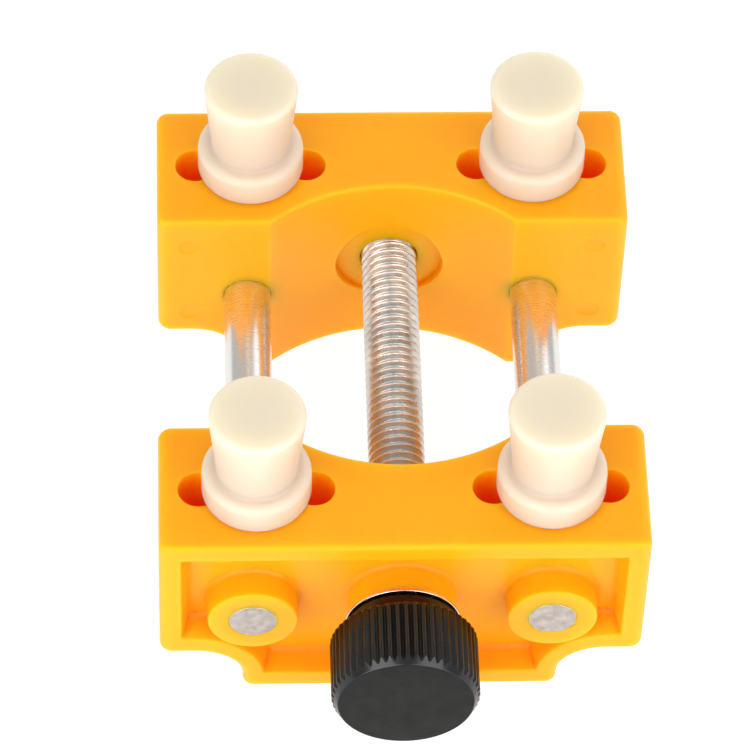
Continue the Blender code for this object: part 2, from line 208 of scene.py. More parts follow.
class StageSettings(bpy.types.PropertyGroup):
    azimuth: FloatProperty(
        name="Azimuth", description="Camera's turn about the holder",
        default=math.radians(-3.585), subtype="ANGLE")
    elevation: FloatProperty(
        name="Elevation", description="Camera's height above the horizon",
        default=math.radians(52.8), subtype="ANGLE")
    roll: FloatProperty(
        name="Roll", description="Camera's turn about its own view",
        default=math.radians(2.401), subtype="ANGLE")
    distance: FloatProperty(
        name="Distance", description="From the camera to the point it looks at",
        default=0.53072, unit="LENGTH", subtype="DISTANCE")
    target: FloatVectorProperty(
        name="Target", description="The point that the camera looks at",
        default=(-0.00253, -0.00535, 0.0248), size=3, subtype="XYZ", unit="LENGTH")
    lens: FloatProperty(
        name="Lens", description="Focal length in millimetres", default=246.36, min=20.0)
    left_power: FloatProperty(
        name="Left Light", description="Power of the front left light in watts", default=2.7)
    right_power: FloatProperty(
        name="Right Light", description="Power of the front right light in watts", default=2.1)
    back_power: FloatProperty(
        name="Back Light", description="Power of the rear light in watts", default=0.9)
    sky: FloatProperty(
        name="Surroundings", description="Brightness of the white surroundings", default=0.62)


# ------------------------------------------------------------------ shaping
def quarter(steps, start=0.0):
    """Angles over a quarter turn, from start to 90 degrees."""
    return [start + (math.pi / 2 - start) * step / steps for step in range(steps + 1)]


def easing(radius, steps, start=0.0):
    """(inset, drop) pairs round an edge of that radius, from the face into the wall."""
    return [(radius * (1 - math.sin(turn)), radius * (1 - math.cos(turn)))
            for turn in quarter(steps, start)]


def flared(radius, steps):
    """An easing that sets out just past the face, so that two surfaces cross cleanly."""
    pairs = easing(radius, steps, FLARE_START)
    inset, drop = pairs[0]
    return [(inset + (drop + PAST) / math.tan(FLARE_START), -PAST)] + pairs


def rounded(points, closed=True, steps=5):
    """A flat outline with its corners rounded; each point is (a, b) or (a, b, radius)."""
    shape = []
    for index, point in enumerate(points):
        corner = Vector(point[:2])
        at_end = not closed and index in (0, len(points) - 1)
        if len(point) < 3 or at_end:
            shape.append(corner)
            continue
        before = (Vector(points[index - 1][:2]) - corner).normalized()
        after = (Vector(points[(index + 1) % len(points)][:2]) - corner).normalized()
        half = before.angle(after) / 2
        centre = corner + (before + after).normalized() * (point[2] / math.sin(half))
        start = corner + before * (point[2] / math.tan(half)) - centre
        end = corner + after * (point[2] / math.tan(half)) - centre
        angle = math.atan2(start.y, start.x)
        sweep = math.remainder(math.atan2(end.y, end.x) - angle, math.tau)
        for step in range(steps + 1):
            turn = angle + sweep * step / steps
            shape.append(centre + point[2] * Vector((math.cos(turn), math.sin(turn))))
    return shape


def turned(shape, profile, origin, axis, sides=64, closed=False):
    """Adds a solid of revolution; profile is (radius, distance along the axis)."""
    axis = Vector(axis).normalized()
    across = Vector((0, 0, 1)) if abs(axis.z) < 0.5 else Vector((1, 0, 0))
    other = axis.cross(across)
    rings = []
    for radius, along in profile:
        centre = Vector(origin) + axis * along
        if radius < 1e-7:
            rings.append([shape.verts.new(centre)])
            continue
        turns = [math.tau * side / sides for side in range(sides)]
        rings.append([shape.verts.new(centre + radius * (across * math.cos(turn)
                                                         + other * math.sin(turn)))
                      for turn in turns])
    faces = []
    pairs = list(zip(rings, rings[1:]))
    if closed:
        pairs.append((rings[-1], rings[0]))
    for low, high in pairs:
        for side in range(sides):
            ahead = (side + 1) % sides
            corners = (low[side % len(low)], low[ahead % len(low)],
                       high[ahead % len(high)], high[side % len(high)])
            corners = tuple(dict.fromkeys(corners))
            if len(corners) > 2:
                faces.append(shape.faces.new(corners))
    bmesh.ops.recalc_face_normals(shape, faces=faces)


def to_object(name, shape):
    """The finished bmesh as an object in the scene, at the origin."""
    mesh = bpy.data.meshes.new(name)
    shape.to_mesh(mesh)
    shape.free()
    piece = bpy.data.objects.new(name, mesh)
    bpy.context.scene.collection.objects.link(piece)
    return piece


def lofted(name, sections):
    """An object: a closed skin over sections of equal point counts, with flat ends."""
    shape = bmesh.new()
    loops = [[shape.verts.new(point) for point in section] for section in sections]
    faces = []
    for low, high in zip(loops, loops[1:]):
        for index in range(len(low)):
            ahead = (index + 1) % len(low)
            faces.append(shape.faces.new((low[index], low[ahead], high[ahead], high[index])))
    faces.append(shape.faces.new(list(reversed(loops[0]))))
    faces.append(shape.faces.new(loops[-1]))
    bmesh.ops.recalc_face_normals(shape, faces=faces)
    return to_object(name, shape)


def lathed(name, profile, origin, axis, sides, closed=False):
    """An object: one solid of revolution."""
    shape = bmesh.new()
    turned(shape, profile, origin, axis, sides, closed)
    return to_object(name, shape)


def settle(piece):
    """What the piece's modifiers make becomes its own mesh."""
    bpy.context.view_layer.update()
    evaluated = piece.evaluated_get(bpy.context.evaluated_depsgraph_get())
    mesh = bpy.data.meshes.new_from_object(evaluated)
    rough = piece.data
    piece.modifiers.clear()
    piece.data = mesh
    mesh.name = piece.name
    bpy.data.meshes.remove(rough)


def combine(piece, steps):
    """Joins and cuts the piece with other solids, in order; they are used up."""
    for operation, tool in steps:
        change = piece.modifiers.new(tool.name, "BOOLEAN")
        change.operation, change.object, change.solver = operation, tool, "MANIFOLD"
    settle(piece)
    for _, tool in steps:
        bpy.data.objects.remove(tool, do_unlink=True)
    piece.data.materials.clear()
    piece.data.polygons.foreach_set("material_index", [0] * len(piece.data.polygons))
    if not piece.data.polygons:
        raise RuntimeError(f"{piece.name} lost its faces")


def soften(piece, sharp=32):
    """Smooth shading that keeps flat faces flat and edges over the angle sharp."""
    piece.data.shade_smooth()
    piece.data.set_sharp_from_angle(angle=math.radians(sharp))
    normals = piece.modifiers.new("flat faces", "WEIGHTED_NORMAL")
    normals.keep_sharp = True
    settle(piece)


def fit(piece, body, slot, finishes, *nodes):
    """Gives the piece its finish and puts it on its body, in place of the nodes."""
    if not piece.data.materials:
        for finish in finishes:
            piece.data.materials.append(finish)
    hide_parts(*nodes)
    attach(piece, body)


# ------------------------------------------------------------------ finishes
def new_finish(name, colour, roughness, sockets):
    """A material in one colour, with other sockets of its shader set by name."""
    finish = bpy.data.materials.new(name)
    finish.use_nodes = True
    shader = finish.node_tree.nodes["Principled BSDF"]
    shader.inputs["Base Color"].default_value = (*colour, 1.0)
    shader.inputs["Roughness"].default_value = roughness
    for label, value in sockets.items():
        shader.inputs[label].default_value = value
    return finish, shader


def grain(finish, size, detail=2.0, stretch=(1.0, 1.0, 1.0)):
    """Noise on the piece's own coordinates, its features about size metres across."""
    nodes, links = finish.node_tree.nodes, finish.node_tree.links
    place = nodes.new("ShaderNodeTexCoord")
    mapping = nodes.new("ShaderNodeMapping")
    mapping.inputs["Scale"].default_value = stretch
    noise = nodes.new("ShaderNodeTexNoise")
    noise.inputs["Scale"].default_value = 1.0 / size
    noise.inputs["Detail"].default_value = detail
    links.new(place.outputs["Object"], mapping.inputs["Vector"])
    links.new(mapping.outputs["Vector"], noise.inputs["Vector"])
    return noise.outputs["Fac"]


def ranged(finish, source, low, high, start=0.3, end=0.7):
    """Maps a texture between start and end to a value between low and high."""
    node = finish.node_tree.nodes.new("ShaderNodeMapRange")
    node.inputs["From Min"].default_value = start
    node.inputs["From Max"].default_value = end
    node.inputs["To Min"].default_value = low
    node.inputs["To Max"].default_value = high
    finish.node_tree.links.new(source, node.inputs["Value"])
    return node.outputs["Result"]


def mixed(finish, amount, first, second):
    """Colour between two, by a value from 0 to 1."""
    node = finish.node_tree.nodes.new("ShaderNodeMix")
    node.data_type = "RGBA"
    for name, value in (("A", first), ("B", second)):
        socket = [s for s in node.inputs if s.name == name and s.type == "RGBA"][0]
        socket.default_value = (*value, 1.0)
    finish.node_tree.links.new(amount, node.inputs["Factor"])
    return [s for s in node.outputs if s.type == "RGBA"][0]


def roughen(finish, shader, bumps):
    """Chains bumps into the shader; a bump is (grain, distance, strength)."""
    nodes, links = finish.node_tree.nodes, finish.node_tree.links
    normal = None
    for size, distance, strength in bumps:
        bump = nodes.new("ShaderNodeBump")
        bump.inputs["Distance"].default_value = distance
        bump.inputs["Strength"].default_value = strength
        links.new(grain(finish, *size), bump.inputs["Height"])
        if normal is not None:
            links.new(normal, bump.inputs["Normal"])
        normal = bump.outputs["Normal"]
    links.new(normal, shader.inputs["Normal"])


def shade(colour, factor):
    return tuple(min(1.0, channel * factor) for channel in colour)


def dress(finish, shader, tones, clouds, wear, gloss, bumps):
    """Clouds a finish between two tones, varies its roughness and bumps its surface.

    clouds and wear are grains, and gloss is the lowest and highest roughness. Without
    clouds the colour is left as it is.
    """
    link = finish.node_tree.links.new
    if clouds:
        amount = ranged(finish, grain(finish, *clouds), 0.0, 1.0)
        link(mixed(finish, amount, *tones), shader.inputs["Base Color"])
    link(ranged(finish, grain(finish, *wear), *gloss), shader.inputs["Roughness"])
    roughen(finish, shader, bumps)
    return finish


def jaw_plastic(colour):
    """Translucent amber moulding plastic with a fine satin texture."""
    deeper = (colour[0], colour[1] * 0.94, colour[2])
    finish, shader = new_finish("amber jaw plastic", colour, 0.36, {
        "Subsurface Weight": 1.0, "Subsurface Radius": (0.70, 0.50, 0.12),
        "Subsurface Scale": 0.0055, "IOR": 1.48, "Specular IOR Level": 0.24})
    return dress(finish, shader, (deeper, colour), (0.018,), (0.0009, 3.0), (0.32, 0.42),
                 [((0.0045,), 0.00004, 0.25), ((0.00022,), FINE_BUMP, 0.35)])


def peg_nylon(colour):
    """Milky nylon, a little waxy, with painted shade that makes it warmer and darker near the
    flange, and faint turning lines.
    """
    finish, shader = new_finish("ivory peg nylon", colour, 0.38, {
        "Subsurface Weight": 0.9, "Subsurface Radius": (1.0, 0.8, 0.55),
        "Subsurface Scale": 0.0050, "IOR": 1.5})
    link = finish.node_tree.links.new
    place = finish.node_tree.nodes.new("ShaderNodeTexCoord")
    parts = finish.node_tree.nodes.new("ShaderNodeSeparateXYZ")
    link(place.outputs["Object"], parts.inputs["Vector"])
    # Painted shade: the nylon is drawn warmer and darker near the flange, fading to its own
    # colour at the top, in place of the shade and the orange light thrown up from the jaw.
    painted_shade_fade = ranged(finish, parts.outputs["Z"], 0.0, 1.0, JAW_HEIGHT + 0.006, PEG_HIGH.z)
    painted_shade_colour = (colour[0] * 0.92, colour[1] * 0.85, colour[2] * 0.87)
    link(mixed(finish, painted_shade_fade, painted_shade_colour, colour), shader.inputs["Base Color"])
    return dress(finish, shader, None, None, (0.0012, 3.0), (0.33, 0.46),
                 [((0.0020,), 0.00003, 0.3), ((0.0004, 2.0, (0.2, 0.2, 3.0)), FINE_BUMP, 0.3)])


def knob_plastic(name, colour, gloss, level):
    """Black moulding plastic; level is how strongly it reflects."""
    finish, shader = new_finish(name, colour, gloss[0],
                                {"IOR": 1.5, "Specular IOR Level": level})
    return dress(finish, shader, (shade(colour, 0.8), shade(colour, 1.25)), (0.0020,),
                 (0.0015, 3.0), gloss,
                 [((0.00018, 3.0), 0.00001 * gloss[0], 0.6), ((0.0011,), 0.00001, 0.3)])


def metal(name, tones, clouds, wear, gloss, bumps):
    """Metal in one tone, or clouded between two."""
    finish, shader = new_finish(name, tones[0], gloss[0], {"Metallic": 1.0})
    return dress(finish, shader, tones, clouds, wear, gloss, bumps)


def rod_steel():
    """Ground steel with fine rings around the rod."""
    rings = (0.0012, 2.0, (0.3, 6.0, 0.3))
    return metal("ground rod steel", [(0.74, 0.73, 0.71)], None, rings, (0.20, 0.30),
                 [(rings, 0.0000015, 0.2)])


def cut_steel():
    """The rods' sheared and filed ends: mottled, dull and pitted."""
    return metal("cut rod end", [(0.42, 0.37, 0.34), (0.62, 0.57, 0.53)], (0.0011, 4.0),
                 (0.0006, 3.0), (0.38, 0.62),
                 [((0.0014, 4.0), 0.00025, 0.5), ((0.0003, 3.0), 0.00004, 0.5)])


def screw_steel():
    """Zinc plated steel, slightly clouded."""
    return metal("zinc plated screw steel", [(0.56, 0.57, 0.56), (0.74, 0.72, 0.67)],
                 (0.0030, 3.0), (0.0008,), (0.22, 0.40), [((0.0002,), FINE_BUMP, 0.4)])


def washer_steel():
    """Bright nickel plated steel."""
    return metal("bright washer steel", [(0.88, 0.84, 0.82)], None, (0.0007, 3.0),
                 (0.14, 0.30), [((0.0005,), FINE_BUMP, 0.4)])


def clip_steel():
    """Blued spring steel with a dark, oily temper."""
    return metal("spring steel", [(0.13, 0.14, 0.17), (0.28, 0.26, 0.25)], (0.0014, 3.0),
                 (0.0006,), (0.26, 0.42), [((0.0003,), FINE_BUMP, 0.4)])


def insert_brass():
    """Machined brass, slightly tarnished."""
    return metal("insert brass", [(0.74, 0.50, 0.19), (0.88, 0.66, 0.32)], (0.0018, 3.0),
                 (0.0007,), (0.20, 0.38), [((0.0003,), FINE_BUMP, 0.4)])


# ------------------------------------------------------------------ jaws
def jaw_outline(inset_x, inset_z, corner, foot_corner):
    """The jaw from the front as (x, z), inset from its full size, corners rounded."""
    side = JAW_WIDTH / 2 - inset_x
    centre_x = FOOT_HALF_WIDTH + FOOT_FILLET
    centre_z = SIDE_UNDERSIDE - FOOT_FILLET
    reach_x, reach_z = FOOT_FILLET + inset_x, FOOT_FILLET + inset_z
    half = [(side, JAW_HEIGHT - inset_z, corner), (side, SIDE_UNDERSIDE + inset_z, corner)]
    low = max(0.0, math.asin((inset_z - centre_z) / reach_z))
    bends = 14
    for step in range(bends + 1):
        turn = math.pi / 2 + (low - math.pi / 2) * step / bends
        half.append((centre_x - reach_x * math.cos(turn), centre_z + reach_z * math.sin(turn)))
    if inset_z < centre_z:
        half.append((FOOT_HALF_WIDTH - inset_x, inset_z, foot_corner))
    else:
        half[-1] = (*half[-1], foot_corner)
    return rounded(half + [(-point[0], *point[1:]) for point in reversed(half)])


def edge_inset(radius, depth):
    """How far an edge of that radius is drawn in, at a depth below the face."""
    return radius - math.sqrt(radius ** 2 - max(0.0, radius - depth) ** 2)


class Jaw:
    """Shapes given from one jaw's outer face: x across, depth inwards, z up."""

    def __init__(self, face_y, facing, settings):
        self.face_y, self.facing, self.settings = face_y, facing, settings
        self.inward = (0, facing, 0)

    def at(self, x, depth, z):
        return Vector((self.facing * x, self.face_y + self.facing * depth, z))

    def section(self, outline, depth):
        return [self.at(x, depth, z) for x, z in outline]

    def body(self, name):
        s = self.settings
        steps = [s.side_radius * (1 - math.cos(turn)) for turn in quarter(7)]
        depths = steps + [JAW_DEPTH - step for step in reversed(steps)]
        sections = []
        for depth in depths:
            from_face = min(depth, JAW_DEPTH - depth)
            edge = s.edge_radius if depth < JAW_DEPTH / 2 else s.grip_edge_radius
            inset_z = edge_inset(edge, from_face)
            corner = s.corner_radius - 0.6 * inset_z * s.corner_radius / edge
            outline = jaw_outline(edge_inset(s.side_radius, from_face), inset_z, corner,
                                  corner * 0.75)
            sections.append(self.section(outline, depth))
        return lofted(name, sections)

    def recess(self):
        """Cutter for the recess: eased lip, drafted wall, filleted floor."""
        s = self.settings
        lip, floor = 0.00030, 0.00070
        corner, foot_corner = 0.00035, 0.00025
        levels = [(s.recess_rim - inset, drop) for inset, drop in flared(lip, 4)]
        deep = s.recess_rim + s.recess_draft - floor
        levels += [(deep + drop, s.recess_depth - inset) for inset, drop in easing(floor, 4)]
        return lofted("recess", [
            self.section(jaw_outline(inset, inset, corner, foot_corner), depth)
            for inset, depth in levels])

    def bosses(self):
        shape = bmesh.new()
        edge, root = 0.00030, 0.00060
        floor = self.settings.recess_depth
        for x, radius, proud in ((-ROD_OFFSET, ROD_BOSS_RADIUS, ROD_BOSS_PROUD),
                                 (ROD_OFFSET, ROD_BOSS_RADIUS, ROD_BOSS_PROUD),
                                 (0, SCREW_BOSS_RADIUS, SCREW_BOSS_PROUD)):
            profile = [(0, -proud)]
            profile += [(radius - inset, drop - proud) for inset, drop in easing(edge, 4)]
            profile += [(radius + inset, floor - drop)
                        for inset, drop in reversed(flared(root, 4))]
            profile += [(profile[-1][0], floor + BOSS_ROOT), (0, floor + BOSS_ROOT)]
            turned(shape, profile, self.at(x, 0, AXIS_HEIGHT), self.inward, 72)
        return to_object("bosses", shape)

    def cradle(self):
        """Cutter for the round hollow in the inner face, flared at top and bottom."""
        s = self.settings
        flare, lip = 0.0004, 0.0007
        levels = flared(flare, 4)
        heights = [(grow, JAW_HEIGHT - drop) for grow, drop in levels]
        heights += [(grow, drop) for grow, drop in reversed(levels)]
        sections = []
        for grow, z in heights:
            radius = s.cradle_radius + grow
            centre = JAW_DEPTH - s.cradle_depth + s.cradle_radius
            lip_depth = JAW_DEPTH - lip
            lip_x = math.sqrt((radius + lip) ** 2 - (centre - lip_depth) ** 2)
            meet = math.atan2(centre - lip_depth, -lip_x)
            first = math.radians(100)
            half = [(lip_x + lip * math.cos(first + (meet - first) * step / 4),
                     lip_depth + lip * math.sin(first + (meet - first) * step / 4))
                    for step in range(4)]
            rise = JAW_DEPTH + PAST - half[0][1]
            edge_x = half[0][0] + rise / math.tan(math.radians(10))
            half = [(edge_x, JAW_DEPTH + 0.001), (edge_x, JAW_DEPTH + PAST)] + half
            outline = list(half)
            last = meet - math.pi
            bends = 48
            for step in range(bends + 1):
                turn = last + (-math.pi - 2 * last) * step / bends
                outline.append((radius * math.cos(turn), centre + radius * math.sin(turn)))
            outline += [(-x, depth) for x, depth in reversed(half)]
            sections.append([self.at(x, depth, z) for x, depth in outline])
        return lofted("cradle", sections)

    def spot_face(self):
        depth = JAW_DEPTH - self.settings.cradle_depth - SPOT_FACE_DEPTH
        profile = [(0, depth), (SPOT_FACE_RADIUS, depth), (SPOT_FACE_RADIUS, depth + 0.003),
                   (0, depth + 0.003)]
        return lathed("spot face", profile, self.at(0, 0, AXIS_HEIGHT), self.inward, 96)

    def bore(self, shape, radius, place, direction, near, far, lip=0.00015, through=True,
             pocket=None, sides=64):
        """Adds a hole's cutter along a direction, its open ends eased by lip."""
        flare = flared(lip, 3)
        mouth = pocket[0] if pocket else radius
        profile = [(0, near - PAST)] + [(mouth + grow, near + drop) for grow, drop in flare]
        if pocket:
            profile += [(pocket[0], pocket[1]), (radius, pocket[1])]
        if through:
            profile += [(radius + grow, far - drop) for grow, drop in reversed(flare)]
            profile.append((0, far + PAST))
        else:
            profile += [(radius - drop, far - inset)
                        for inset, drop in easing(min(0.0003, radius / 3), 3)]
            profile.append((0, far))
        turned(shape, profile, place, direction, sides)

    def holes(self, with_insert):
        s = self.settings
        shape = bmesh.new()
        rod_gap = RUNNING_GAP if with_insert else RUNNING_GAP / 5
        for x in (-ROD_OFFSET, ROD_OFFSET):
            self.bore(shape, ROD_RADIUS + rod_gap, self.at(x, 0, AXIS_HEIGHT), self.inward,
                      -ROD_BOSS_PROUD, JAW_DEPTH, lip=0.00003)
        wall = JAW_DEPTH - s.cradle_depth - SPOT_FACE_DEPTH
        pocket = (INSERT_RADIUS + RUNNING_GAP, INSERT_LENGTH + 0.0001) if with_insert else None
        self.bore(shape, SCREW_RADIUS + 2 * RUNNING_GAP, self.at(0, 0, AXIS_HEIGHT),
                  self.inward, -SCREW_BOSS_PROUD, wall, pocket=pocket)
        for side in (-1, 1):
            for step in (-1, 0, 1):
                x = side * PEG_OFFSET + step * PEG_HOLE_PITCH
                self.bore(shape, s.peg_hole_radius, self.at(x, PEG_INSET, JAW_HEIGHT),
                          (0, 0, -1), 0.0, PEG_HOLE_DEPTH, lip=0.00012, through=False)
            for z in EJECTOR_HEIGHTS:
                self.bore(shape, EJECTOR_RADIUS, self.at(side * EJECTOR_X, JAW_DEPTH, z),
                          (0, -self.facing, 0), 0.0, EJECTOR_DEPTH, lip=0.00003,
                          through=False, sides=40)
        return to_object("holes", shape)

    def make(self, name, with_insert):
        jaw = self.body(name)
        combine(jaw, [("DIFFERENCE", self.recess()), ("UNION", self.bosses()),
                      ("DIFFERENCE", self.cradle()), ("DIFFERENCE", self.spot_face()),
                      ("DIFFERENCE", self.holes(with_insert))])
        soften(jaw)
        return jaw


class HOLDER_OT_jaws(bpy.types.Operator):
    """Moulds the two jaws, the rear one turned half round"""
    bl_idname = "holder.jaws"
    bl_label = "Jaws"

    def execute(self, context):
        settings = context.scene.holder_jaws
        plastic = jaw_plastic(settings.colour)
        front = Jaw(FRONT_FACE_Y, 1, settings).make("front_jaw_moulding", False)
        rear = Jaw(REAR_FACE_Y, -1, settings).make("rear_jaw_moulding", True)
        fit(front, "front_frame", "jaw_plastic", [plastic], "front_jaw")
        fit(rear, "rear_carriage", "jaw_plastic", [plastic], "rear_jaw")
        return {"FINISHED"}


# ------------------------------------------------------------------ metal
class HOLDER_OT_guide_rods(bpy.types.Operator):
    """Turns the two guide rods, with chamfered, roughly faced ends"""
    bl_idname = "holder.guide_rods"
    bl_label = "Guide Rods"

    def execute(self, context):
        chamfer = context.scene.holder_screw.rod_chamfer
        steel, cut = rod_steel(), cut_steel()
        radius = (ROD_HIGH.z - ROD_LOW.z) / 2
        length = ROD_HIGH.y - ROD_LOW.y
        sunk = 0.00004
        for side, name in ((-1, "guide_rod_left"), (1, "guide_rod_right")):
            shape = bmesh.new()
            profile = rounded([(0, sunk), (radius - chamfer, sunk, 0.00006),
                               (radius, sunk + chamfer, 0.00006),
                               (radius, length - chamfer, 0.00006),
                               (radius - chamfer, length, 0.00006), (0, length)], False, 3)
            profile.insert(1, (radius * 0.55, sunk))
            profile.insert(-1, (radius * 0.55, length))
            turned(shape, profile, (side * ROD_OFFSET, ROD_LOW.y, AXIS_HEIGHT), (0, 1, 0), 72)
            for face in shape.faces:
                middle = face.calc_center_median().y - ROD_LOW.y
                face.material_index = int(min(middle, length - middle) < sunk + 0.00001)
            rod = to_object(name + "_bar", shape)
            soften(rod, 40)
            fit(rod, "front_frame", "rod_steel", [steel, cut], name)
        return {"FINISHED"}


SOCKETS = {float: "NodeSocketFloat", int: "NodeSocketInt", type(None): "NodeSocketMaterial"}


def new_rule(name, inputs):
    """A geometry tree with named inputs after its geometry; None stands for a material."""
    tree = bpy.data.node_groups.new(name, "GeometryNodeTree")
    tree.interface.new_socket("Geometry", in_out="INPUT", socket_type="NodeSocketGeometry")
    for label, default in inputs.items():
        socket = tree.interface.new_socket(label, in_out="INPUT",
                                           socket_type=SOCKETS[type(default)])
        if default is not None:
            socket.default_value = default
    tree.interface.new_socket("Geometry", in_out="OUTPUT", socket_type="NodeSocketGeometry")
    return tree, tree.nodes.new("NodeGroupInput"), tree.nodes.new("NodeGroupOutput")


def calc(tree, operation, *values):
    """A math node fed with sockets or numbers."""
    node = tree.nodes.new("ShaderNodeMath")
    node.operation = operation
    for socket, value in zip(node.inputs, values):
        if isinstance(value, (int, float)):
            socket.default_value = value
        else:
            tree.links.new(value, socket)
    return node.outputs["Value"]


def about_axis(tree, given):
    """(radius, turn, y, x, z) of each point about the holder's long axis."""
    position = tree.nodes.new("GeometryNodeInputPosition")
    parts = tree.nodes.new("ShaderNodeSeparateXYZ")
    tree.links.new(position.outputs["Position"], parts.inputs["Vector"])
    x, y = parts.outputs["X"], parts.outputs["Y"]
    z = calc(tree, "SUBTRACT", parts.outputs["Z"], given.outputs["Axis Height"])
    radius = calc(tree, "SQRT", calc(tree, "ADD", calc(tree, "MULTIPLY", x, x),
                                     calc(tree, "MULTIPLY", z, z)))
    return radius, calc(tree, "ARCTAN2", z, x), y, x, z


def painted(tree, geometry, material, chosen=None):
    """Sets a material on the geometry, or on its chosen faces only."""
    paint = tree.nodes.new("GeometryNodeSetMaterial")
    tree.links.new(geometry, paint.inputs["Geometry"])
    tree.links.new(material, paint.inputs["Material"])
    if chosen:
        tree.links.new(chosen, paint.inputs["Selection"])
    return paint.outputs["Geometry"]


def trim_to(tree, given, limit):
    """Draws points in to the limit radius, and sets the material."""
    radius, _, y, x, z = about_axis(tree, given)
    shrink = calc(tree, "DIVIDE", calc(tree, "MINIMUM", radius, limit),
                  calc(tree, "MAXIMUM", radius, 1e-6))
    place = tree.nodes.new("ShaderNodeCombineXYZ")
    tree.links.new(calc(tree, "MULTIPLY", x, shrink), place.inputs["X"])
    tree.links.new(y, place.inputs["Y"])
    tree.links.new(calc(tree, "MULTIPLY_ADD", z, shrink, given.outputs["Axis Height"]),
                   place.inputs["Z"])
    move = tree.nodes.new("GeometryNodeSetPosition")
    realize = tree.nodes.new("GeometryNodeRealizeInstances")
    tree.links.new(given.outputs["Geometry"], move.inputs["Geometry"])
    tree.links.new(place.outputs["Vector"], move.inputs["Position"])
    tree.links.new(move.outputs["Geometry"], realize.inputs["Geometry"])
    return painted(tree, realize.outputs["Geometry"], given.outputs["Material"])


def apply_rule(piece, tree, values):
    """Runs a geometry tree on the piece, with its inputs by their labels."""
    rule = piece.modifiers.new(tree.name, "NODES")
    rule.node_group = tree
    for item in tree.interface.items_tree:
        if item.in_out == "INPUT" and item.name in values:
            rule[item.identifier] = values[item.name]
    settle(piece)


def thread_rule():
    """Cuts a 60 degree thread into a plain bar."""
    tree, given, out = new_rule("screw thread", {
        "Radius": SCREW_RADIUS, "Depth": 0.00055, "Pitch": 0.001, "Start": 0.0,
        "Run Out": 0.0008, "Axis Height": AXIS_HEIGHT, "Material": None})
    _, turn, y, _, _ = about_axis(tree, given)
    turns = calc(tree, "ADD", calc(tree, "DIVIDE", y, given.outputs["Pitch"]),
                 calc(tree, "DIVIDE", turn, math.tau))
    flank, flat = 2.3, 1.25         # how steep the flanks are, and how flat the root
    saw = calc(tree, "FRACT", turns)
    crest = calc(tree, "ABSOLUTE", calc(tree, "SUBTRACT", saw, 0.5))
    groove = calc(tree, "SUBTRACT", 1.0, calc(tree, "MULTIPLY", crest, flank))
    groove = calc(tree, "MAXIMUM", 0.0, calc(tree, "MINIMUM", 1.0,
                                             calc(tree, "MULTIPLY", groove, flat)))
    run = calc(tree, "DIVIDE", calc(tree, "SUBTRACT", y, given.outputs["Start"]),
               given.outputs["Run Out"])
    run = calc(tree, "MAXIMUM", 0.0, calc(tree, "MINIMUM", 1.0, run))
    cut = calc(tree, "MULTIPLY", calc(tree, "MULTIPLY", groove, given.outputs["Depth"]), run)
    threaded = trim_to(tree, given, calc(tree, "SUBTRACT", given.outputs["Radius"], cut))
    tree.links.new(threaded, out.inputs["Geometry"])
    return tree


class HOLDER_OT_lead_screw(bpy.types.Operator):
    """Turns the lead screw: plain journal, clip groove, then a rolled thread"""
    bl_idname = "holder.lead_screw"
    bl_label = "Lead Screw"

    def execute(self, context):
        settings = context.scene.holder_screw
        start, end = SCREW_LOW.y, SCREW_HIGH.y
        groove, gap, edge = 0.00225, 0.00005, 0.0006
        along = [(0, start), (SCREW_RADIUS - edge, start), (SCREW_RADIUS, start + edge),
                 (SCREW_RADIUS, CLIP_LOW.y - gap), (groove, CLIP_LOW.y - gap),
                 (groove, CLIP_HIGH.y + gap), (SCREW_RADIUS - 0.0003, CLIP_HIGH.y + gap),
                 (SCREW_RADIUS, CLIP_HIGH.y + gap + 0.0003)]
        rings = 14
        first = CLIP_HIGH.y + gap + 0.0004
        count = int((end - edge - first) / settings.pitch * rings)
        along += [(SCREW_RADIUS, first + (end - edge - first) * step / count)
                  for step in range(count)]
        along += [(SCREW_RADIUS - edge * step / 6, end - edge * (1 - step / 6))
                  for step in range(7)]
        along.append((0, end))
        screw = lathed("lead_screw_thread", along, AXIS, (0, 1, 0), 48)
        apply_rule(screw, thread_rule(), {
            "Radius": SCREW_RADIUS, "Depth": settings.thread_depth, "Pitch": settings.pitch,
            "Start": first, "Run Out": 0.0008, "Axis Height": AXIS_HEIGHT,
            "Material": screw_steel()})
        soften(screw, 60)
        fit(screw, "knob_spindle", "screw_steel", [], "lead_screw")
        return {"FINISHED"}


def ring_piece(name, node, inner, edge):
    """A washer, filling its node's place, with eased edges."""
    low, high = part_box(node)
    outer = (high.z - low.z) / 2
    profile = rounded([(inner, low.y, edge), (outer, low.y, edge), (outer, high.y, edge),
                       (inner, high.y, edge)], steps=3)
    ring = lathed(name, profile, AXIS, (0, 1, 0), 96, closed=True)
    soften(ring, 40)
    return ring


class HOLDER_OT_washers(bpy.types.Operator):
    """Makes the washer behind the knob and the one inside the front jaw"""
    bl_idname = "holder.washers"
    bl_label = "Washers"

    def execute(self, context):
        steel = washer_steel()
        for node in ("thrust_washer", "inner_washer"):
            washer = ring_piece(node + "_ring", node, SCREW_RADIUS + 0.0001, 0.00009)
            fit(washer, "knob_spindle", "washer_steel", [steel], node)
        return {"FINISHED"}


